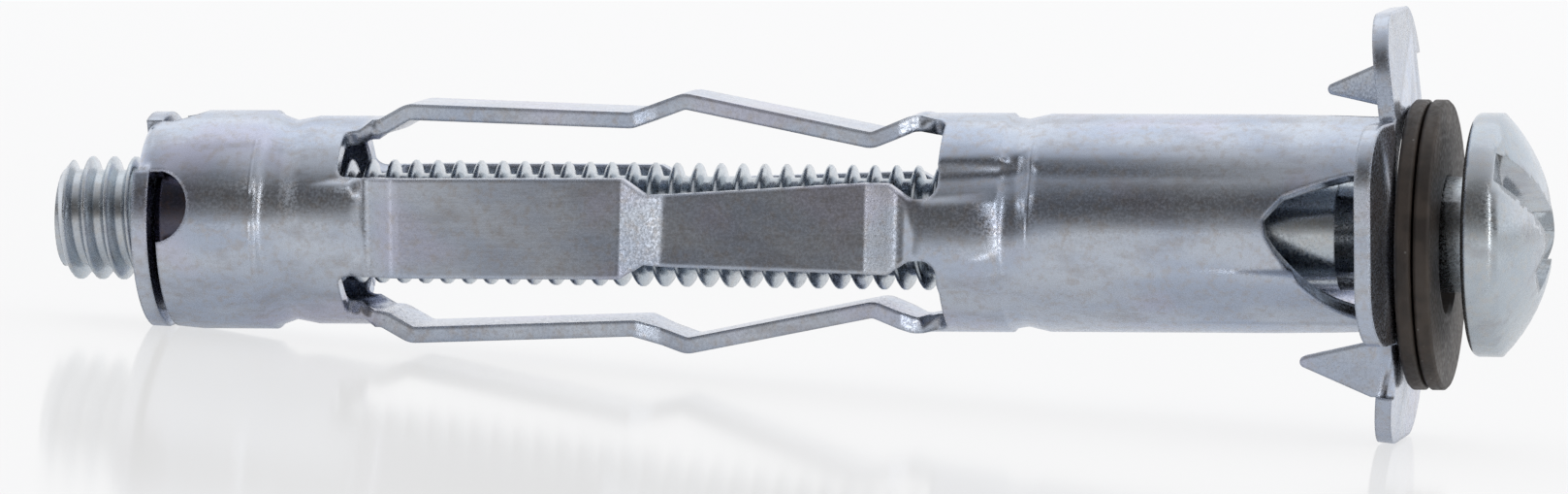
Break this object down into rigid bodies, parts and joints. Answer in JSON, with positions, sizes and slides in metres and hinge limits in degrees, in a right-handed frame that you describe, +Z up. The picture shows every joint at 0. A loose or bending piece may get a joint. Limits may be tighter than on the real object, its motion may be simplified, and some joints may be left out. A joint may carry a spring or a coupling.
{
  "type": "hollow wall anchor",
  "caption": "Hollow wall anchor: a slit sheet-steel sleeve with a lobed, barbed flange, an inner nut and a pan-head machine screw with dark washers.",
  "frame": {"origin": "on the sleeve's axis, in the plane of the flange face that meets the wall", "axes": "+X along the sleeve towards the screw's head; +Z up, through the lobe that points up"},
  "size_m": [0.0474, 0.0134, 0.0134],
  "materials": {
    "zinc_sheet": "bright zinc",
    "zinc_turned": "bright zinc",
    "dark_washer": "matt dark"
  },
  "bodies": {
    "shell": {"sleeve": "zinc_sheet", "nut": "zinc_turned"},
    "turning": {"inner_washer": "dark_washer", "outer_washer": "dark_washer"},
    "driven": {"screw": "zinc_turned"}
  },
  "joints": [
    {"name": "screw_turn", "type": "hinge", "parent": "shell", "child": "turning", "pos_m": [-0.03756, 0, 0], "axis": [1, 0, -0.0079], "range_deg": [-450, 2900]},
    {"name": "screw_travel", "type": "slide", "parent": "turning", "child": "driven", "axis": [1, 0, -0.0079], "range_m": [-0.00084, 0.0056]}
  ],
  "couplings": [
    {"joint": "screw_turn", "follows": "screw_travel", "rad_per_m": 8976}
  ]
}
